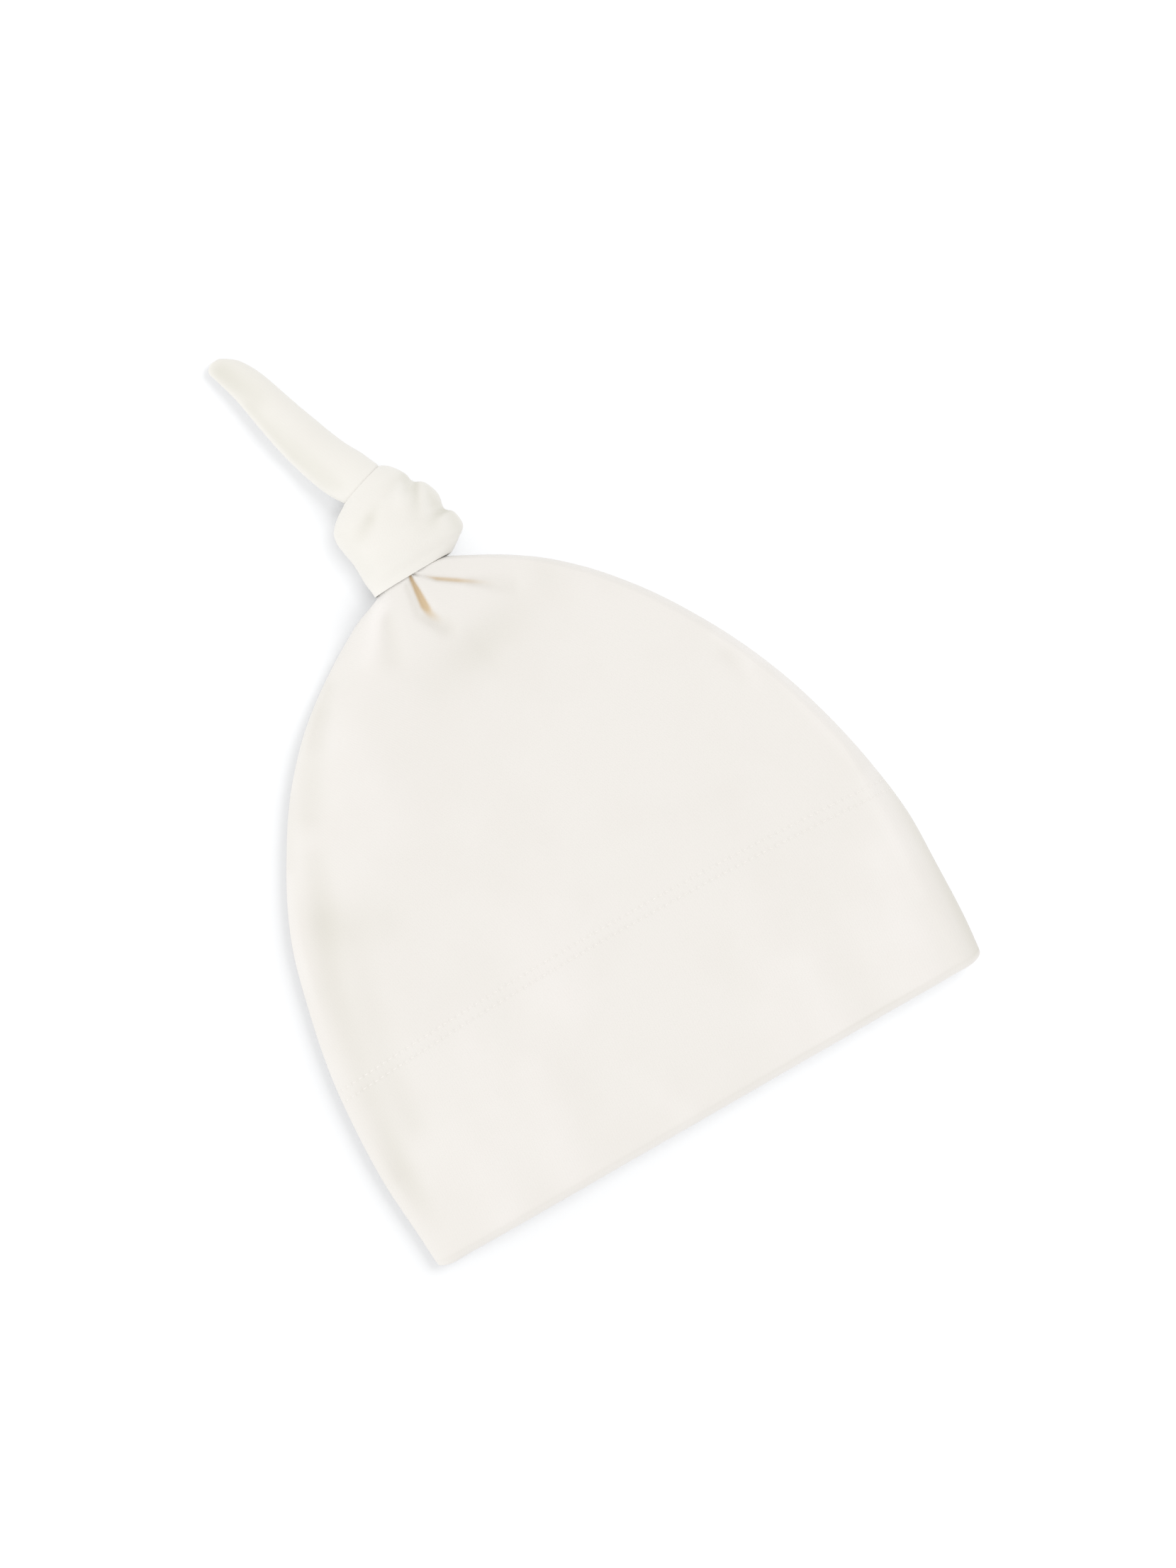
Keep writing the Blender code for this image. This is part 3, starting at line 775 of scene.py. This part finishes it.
def stitching_map(points):
    """The first grid of the cap's stitching map, which is the length round the cap at the stitching's height,
    and the x of each point with the first again at the end, from which the second grid is made."""
    across, front = cap_columns()
    round_row = cap_points(np.array([sizes().row_middle]), np.array([0.0]), across, front)
    x = np.concatenate([points[..., 0], points[:, :1, 0]], axis=1)
    return np.broadcast_to(lengths_round(round_row)[0], x.shape), x


def rows_between(start, end, step):
    """Even steps from start towards end, leaving out the end."""
    return np.linspace(start, end, max(2, round(abs(end - start) / step) + 1))[:-1]


class NIGHTCAP_OT_crown(bpy.types.Operator):
    """Make the cap's cloth: outer skin, turned edge and inner skin in one closed shell"""

    bl_idname = "nightcap.crown"
    bl_label = "Crown Cloth"

    def execute(self, context):
        outer = np.concatenate([rows_between(*row) for row in SKIN_ROWS])
        roll = np.array(EDGE_ROLL)
        inner = np.append(rows_between(FOLD_DEPTH, HOLLOW_END - 1, INNER_STEP), HOLLOW_END - 1)
        end = np.array(HOLLOW_ROUND) + (HOLLOW_END, 0.0)
        y = np.concatenate([outer, roll[:, 0], inner, end[:, 0]])
        inset = np.concatenate([outer * 0, roll[:, 1], inner * 0 + CLOTH, end[:, 1]])
        across, front = cap_columns()
        points = cap_points(y, inset, across, front)
        x = points[..., 0]
        outside = (np.arange(len(y)) < len(outer))[:, None]
        y = y[:, None]
        # Painted pleat shade, where the pleats lie deepest
        depth = PLEAT_SHADE * smooth(pleat_depth(x, y), *PLEAT_SHADE_DEPTHS)
        # Painted shade along the mouth's turned edge, most where the edge is deepest
        place, spread = TURNED_EDGE_PLACE
        edge = TURNED_EDGE_SHADE + TURNED_EDGE_MOST * np.exp(-(((x - place) / spread) ** 2))
        edge = edge * (1 - smooth(y, *TURNED_EDGE_FADE))
        # Painted shade in the valleys and at the turned edge, and painted light on the ridges
        shade = np.clip(-folds(x, y, SOFT_FOLDS) / VALLEY_SHADE + edge, RIDGE_LIGHT, 1)
        shade = shade * (front[None, :] & outside)
        round_length, x_closed = stitching_map(points)
        above_row = np.where(outside, y - row_height(x_closed), OFF_THE_ROWS)
        maps = {"cloth": (lengths_round(points), lengths_along(points)), "stitching": (round_length, above_row)}
        material = jersey_material("cream_jersey", colours().jersey, True)
        make_piece("crown_cloth", points, maps, {"depth": depth, "shade": shade}, "crown", material)
        return {"FINISHED"}


class NIGHTCAP_OT_hem(bpy.types.Operator):
    """Make the leaf of cloth that is turned in at the mouth"""

    bl_idname = "nightcap.hem"
    bl_label = "Hem Leaf"

    def execute(self, context):
        start = FOLD_DEPTH + 2 * CLEARANCE
        down = np.append(rows_between(HEM_DEPTH, start, HEM_STEP), start)
        up = down[::-1]
        outside = CLOTH + CLEARANCE
        y = np.concatenate([down, up])
        inset = np.concatenate([down * 0 + outside, up * 0 + outside + CLOTH])
        across, front = cap_columns()
        points = cap_points(y, inset, across, front)
        maps = {"cloth": (lengths_round(points), lengths_along(points))}
        plain = np.zeros(points.shape[:2])
        material = jersey_material("hem_jersey", colours().jersey, False)
        make_piece("hem_cloth", points, maps, {"depth": plain, "shade": plain}, "hem", material,
                   ring=True)
        return {"FINISHED"}


def lump_points(sections, lines, columns, steps):
    """Points of the knot or the tail, and how deep each is pressed in: ovals between their left and right ends,
    flat where they would pass the floor, swept from the last section to the first with steps between two, and
    with fold lines on the upper side."""
    spans = len(sections) - 1
    places = np.linspace(spans, 0, spans * steps + 1)
    rows = read([(number, *row) for number, row in enumerate(sections)], places)
    left_x, left_y, right_x, right_y, top, under = (column[:, None] for column in rows.T)
    turn = np.linspace(0, 2 * math.pi, columns, endpoint=False)[None, :]
    across, up = np.cos(turn), np.sin(turn)
    boxy = np.sign(up) * np.abs(up) ** OVAL_POWER
    x = (left_x + right_x) / 2 + (right_x - left_x) / 2 * across
    y = (left_y + right_y) / 2 + (right_y - left_y) / 2 * across
    z = np.maximum((top + under) / 2 + (top - under) / 2 * boxy, 0)
    height = folds(x, y, lines) * smooth(z - (top + under) / 2, 0.0, FOLD_FADE)
    return np.stack([x, y, z + height], axis=-1), -height


def make_lump(name, sections, lines, grid, node, material):
    """The knot or the tail from its sections and fold lines, with painted shade in its valleys and painted
    light on its ridges.
    """
    points, pressed = lump_points(sections, lines, *grid)
    maps = {"cloth": (lengths_round(points), lengths_along(points))}
    shades = {"depth": 0 * pressed, "shade": np.clip(pressed / LUMP_VALLEY_SHADE, RIDGE_LIGHT, 1)}
    return make_piece(name, points, maps, shades, node, material)


class NIGHTCAP_OT_knot(bpy.types.Operator):
    """Make the knot that closes the cap"""

    bl_idname = "nightcap.knot"
    bl_label = "Knot"

    def execute(self, context):
        # The knot's jersey is painted lighter than the cap's: painted light
        material = jersey_material("knotted_jersey", colours().lit_knot_jersey, False)
        make_lump("knot_cloth", KNOT_SECTIONS, KNOT_FOLDS, KNOT_GRID, "knot", material)
        return {"FINISHED"}


class NIGHTCAP_OT_tail(bpy.types.Operator):
    """Make the free end past the knot"""

    bl_idname = "nightcap.tail"
    bl_label = "Tail"

    def execute(self, context):
        # The tail's jersey is painted lighter than the cap's: painted light
        material = jersey_material("tail_jersey", colours().lit_knot_jersey, False)
        make_lump("tail_cloth", TAIL_SECTIONS, TAIL_FOLDS, TAIL_GRID, "tail", material)
        return {"FINISHED"}


def stitching_row(rise):
    """Points of a row of stitching once round the cap and back to the first. Each column of the cap's grid
    gives its point at the row's height there: the diagonal of the grid of all columns at all heights."""
    across, front = cap_columns()
    middle = cap_points(np.array([sizes().row_middle]), np.array([0.0]), across, front)
    heights = row_height(middle[0, :, 0]) + rise
    every = np.arange(len(across))
    loop = cap_points(heights, 0 * heights, across, front)[every, every]
    return np.concatenate([loop, loop[:1]])


def thread_lines():
    """Middle line of each stitch's thread in both rows, which follows its row for part of a stitch."""
    across, front = cap_columns()
    middle = cap_points(np.array([sizes().row_middle]), np.array([0.0]), across, front)
    lengths = lengths_round(middle)[0]
    stitch = sizes().stitch_length
    starts = (np.arange(int(lengths[-1] / stitch)) + 0.5) * stitch
    reach = starts[:, None] + np.linspace(*THREAD_SPAN, THREAD_SAMPLES)[None, :] * stitch
    columns = np.arange(len(lengths))
    place = np.interp(reach, lengths, columns)
    rows = []
    for rise in (0.0, sizes().row_gap):
        loop = stitching_row(rise)
        rows.append(np.stack([np.interp(place, columns, loop[:, axis]) for axis in range(3)], axis=-1))
    return np.concatenate(rows)


def thread_points(lines):
    """Rings of points round each thread's middle line: flattened circles that swell as half an ellipse from end
    to end, sunk a little into the cloth and nowhere under the floor."""
    forward = np.gradient(lines, axis=1)
    forward /= np.linalg.norm(forward, axis=-1, keepdims=True)
    sideways = np.broadcast_to(np.array([0.0, 1.0, 0.0]), forward.shape)
    inward = np.cross(sideways, forward)
    sideways = np.cross(forward, inward)
    turn = np.linspace(0, 2 * math.pi, THREAD_SIDES, endpoint=False)[None, None, :, None]
    swell = np.sqrt(np.clip(1 - np.linspace(-1, 1, THREAD_SAMPLES) ** 2, THREAD_END, 1))[None, :, None, None]
    radius = sizes().thread_width / 2 * swell
    sideways, inward = sideways[:, :, None, :], inward[:, :, None, :]
    ring = np.cos(turn) * sideways * radius + np.sin(turn) * inward * radius * THREAD_FLATNESS
    points = lines[:, :, None, :] + ring - inward * THREAD_SUNK * swell
    points[..., 2] = np.maximum(points[..., 2], 0.0)
    return points


def thread_faces(number):
    """Quads round and along each of a number of threads, and a face at each end of it."""
    size = THREAD_SAMPLES * THREAD_SIDES
    base = (np.arange(number) * size)[:, None, None]
    ring = np.arange(THREAD_SAMPLES - 1)[None, :, None] * THREAD_SIDES
    side = np.arange(THREAD_SIDES)[None, None, :]
    after = (side + 1) % THREAD_SIDES
    corners = (base + ring + side, base + ring + after, base + ring + THREAD_SIDES + after,
               base + ring + THREAD_SIDES + side)
    first = np.arange(number)[:, None] * size + np.arange(THREAD_SIDES)[None, :]
    last = first + size - THREAD_SIDES
    return np.stack(corners, axis=-1).reshape(-1, 4)[:, ::-1].tolist() + first.tolist() + last[:, ::-1].tolist()


class NIGHTCAP_OT_stitches(bpy.types.Operator):
    """Sew the two rows of cover stitching round the hem"""

    bl_idname = "nightcap.stitches"
    bl_label = "Cover Stitching"

    def execute(self, context):
        points = thread_points(thread_lines())
        mesh = start_mesh("cover_stitching", points, thread_faces(len(points)))
        add_piece(mesh, None, thread_material())
        return {"FINISHED"}


# The camera, in metres and degrees, and which way the picture's right and top lie on the floor
CAMERA_PLACE = (0.01595, -0.02886, 1.235)
CAMERA_TURN = -29.97
CAMERA_LENS = 100.0
CAMERA_SENSOR = 36.0
IMAGE_RIGHT = (0.8663, -0.4995)
IMAGE_UP = (0.4995, 0.8663)

# Each light's distance to the right and upwards in the picture, its height above the floor and its width, in
# metres
LIGHT_PLACES = {
    "left_light": (-1.5, -0.45, 1.0, 1.2),
    "shadow_light": (1.40, 1.0, 1.92, 1.4),
    "tail_light": (1.0, 0.7, 1.92, 0.9),
    "knot_light": (0.34, 0.25, 1.92, 0.8),
}
COOL_WHITE = (0.97, 0.99, 1.0)
WARM_WHITE = (1.0, 0.985, 0.965)
WHITE = (1.0, 1.0, 1.0)

# The floor's half width and its drop below the cap, in metres, its glow, which is painted light, as the
# distances from the middle where it starts and ends to grow and its strength there, the scale and tint of its
# unevenness, and the strength of the white background
FLOOR_REACH = 6.0
FLOOR_DROP = 0.0002
FLOOR_GLOW = (0.1, 1.2, 0.03, 0.65)
FLOOR_SCALE = 6.0
FLOOR_TINT = (0.995, 0.995, 0.995)
BACKGROUND = 1.06


def add_light(name, power, colour, lit, shading):
    """A square area light that points at the middle of the picture. It lights some objects, and some objects
    stand in its way."""
    right, up, height, width = LIGHT_PLACES[name]
    light = bpy.data.lights.new(name, "AREA")
    light.shape = "SQUARE"
    light.size = width
    light.energy = power
    light.color = colour
    thing = bpy.data.objects.new(name, light)
    x = CAMERA_PLACE[0] + right * IMAGE_RIGHT[0] + up * IMAGE_UP[0]
    y = CAMERA_PLACE[1] + right * IMAGE_RIGHT[1] + up * IMAGE_UP[1]
    thing.location = (x, y, height)
    away = thing.location.copy()
    away.x -= CAMERA_PLACE[0]
    away.y -= CAMERA_PLACE[1]
    thing.rotation_euler = away.to_track_quat("Z", "Y").to_euler()
    bpy.context.scene.collection.objects.link(thing)
    receivers = bpy.data.collections.new(name + "_receivers")
    for item in lit:
        receivers.objects.link(item)
    thing.light_linking.receiver_collection = receivers
    blockers = bpy.data.collections.new(name + "_blockers")
    for item in shading:
        blockers.objects.link(item)
    thing.light_linking.blocker_collection = blockers


def make_floor():
    """A large square of matt pale paper that glows faintly near the cap and more so towards its edges: painted
    light.
    """
    mesh = bpy.data.meshes.new("floor")
    corners = [(x * FLOOR_REACH, y * FLOOR_REACH, -FLOOR_DROP) for x, y in ((-1, -1), (1, -1), (1, 1), (-1, 1))]
    mesh.from_pydata(corners, [], [(0, 1, 2, 3)])
    nodes = Nodes("floor_paper")
    place = nodes.add("ShaderNodeTexCoord").outputs["Object"]
    colour = colours().floor
    uneven = nodes.mix(nodes.noise(FLOOR_SCALE, 2.0, place), tinted(colour, FLOOR_TINT), (*colour, 1))
    nodes.feed(nodes.surface.inputs["Base Color"], uneven)
    nodes.surface.inputs["Roughness"].default_value = 0.95
    nodes.surface.inputs["Specular IOR Level"].default_value = 0.0
    # Painted light: the floor glows, faintly near the cap and more towards its edges
    nodes.surface.inputs["Emission Color"].default_value = (*WHITE, 1.0)
    away = nodes.add("ShaderNodeVectorMath", operation="LENGTH")
    nodes.feed(away.inputs[0], place)
    nodes.feed(nodes.surface.inputs["Emission Strength"], nodes.smooth(away.outputs["Value"], *FLOOR_GLOW))
    mesh.materials.append(nodes.material)
    floor = bpy.data.objects.new("floor", mesh)
    bpy.context.scene.collection.objects.link(floor)
    return floor


def make_even_light():
    """Even warm light from all round, which the camera sees as plain white."""
    world = bpy.data.worlds.new("even_light")
    world.use_nodes = True
    nodes, links = world.node_tree.nodes, world.node_tree.links
    light = nodes["Background"]
    light.inputs["Color"].default_value = (*WARM_WHITE, 1.0)
    light.inputs["Strength"].default_value = colours().sky
    wall = nodes.new("ShaderNodeBackground")
    wall.inputs["Color"].default_value = (*WHITE, 1.0)
    wall.inputs["Strength"].default_value = BACKGROUND
    seen = nodes.new("ShaderNodeLightPath")
    either = nodes.new("ShaderNodeMixShader")
    links.new(seen.outputs["Is Camera Ray"], either.inputs[0])
    links.new(light.outputs[0], either.inputs[1])
    links.new(wall.outputs[0], either.inputs[2])
    links.new(either.outputs[0], nodes["World Output"].inputs["Surface"])
    return world


class NIGHTCAP_OT_stage(bpy.types.Operator):
    """Set the floor, the soft lights and the camera above the cap"""

    bl_idname = "nightcap.stage"
    bl_label = "Studio Stage"

    def execute(self, context):
        scene = context.scene
        floor = make_floor()
        scene.world = make_even_light()
        pieces = [thing for thing in scene.objects if thing.type == "MESH" and thing != floor]
        knot = [thing for thing in pieces if thing.name == "knot_cloth"]
        tail = [thing for thing in pieces if thing.name == "tail_cloth"]
        cap = [thing for thing in pieces if thing not in knot + tail]
        add_light("left_light", colours().left_light, COOL_WHITE, pieces, pieces)
        add_light("shadow_light", colours().shadow_light, WHITE, [floor], cap)
        add_light("tail_light", colours().tail_light, WHITE, [floor], tail)
        add_light("knot_light", colours().knot_light, WHITE, [floor], knot)
        camera = bpy.data.cameras.new("camera")
        camera.lens = CAMERA_LENS
        camera.sensor_width = CAMERA_SENSOR
        viewer = bpy.data.objects.new("camera", camera)
        viewer.location = CAMERA_PLACE
        viewer.rotation_euler = (0.0, 0.0, math.radians(CAMERA_TURN))
        scene.collection.objects.link(viewer)
        scene.camera = viewer
        scene.view_settings.view_transform = "Standard"
        return {"FINISHED"}


class NIGHTCAP_PT_panel(bpy.types.Panel):
    """Lists the nightcap's pieces, sizes and colours"""

    bl_idname = "NIGHTCAP_PT_panel"
    bl_label = "Nightcap"
    bl_space_type = "VIEW_3D"
    bl_region_type = "UI"
    bl_category = "Nightcap"

    def draw(self, context):
        layout = self.layout
        for operator in OPERATORS:
            layout.operator(operator.bl_idname)
        for group in (context.scene.nightcap_sizes, context.scene.nightcap_colours):
            column = layout.column(align=True)
            for name in group.bl_rna.properties.keys():
                if name not in ("rna_type", "name"):
                    column.prop(group, name)


OPERATORS = (NIGHTCAP_OT_crown, NIGHTCAP_OT_hem, NIGHTCAP_OT_knot, NIGHTCAP_OT_tail, NIGHTCAP_OT_stitches,
             NIGHTCAP_OT_stage)
CLASSES = (NightcapSizes, NightcapColours, *OPERATORS, NIGHTCAP_PT_panel)


def register():
    for entry in CLASSES:
        bpy.utils.register_class(entry)
    bpy.types.Scene.nightcap_sizes = PointerProperty(type=NightcapSizes)
    bpy.types.Scene.nightcap_colours = PointerProperty(type=NightcapColours)


def unregister():
    del bpy.types.Scene.nightcap_colours
    del bpy.types.Scene.nightcap_sizes
    for entry in reversed(CLASSES):
        bpy.utils.unregister_class(entry)


def main():
    register()
    bpy.ops.nightcap.crown()
    bpy.ops.nightcap.hem()
    bpy.ops.nightcap.knot()
    bpy.ops.nightcap.tail()
    bpy.ops.nightcap.stitches()
    bpy.ops.nightcap.stage()


if __name__ == "__main__":
    main()
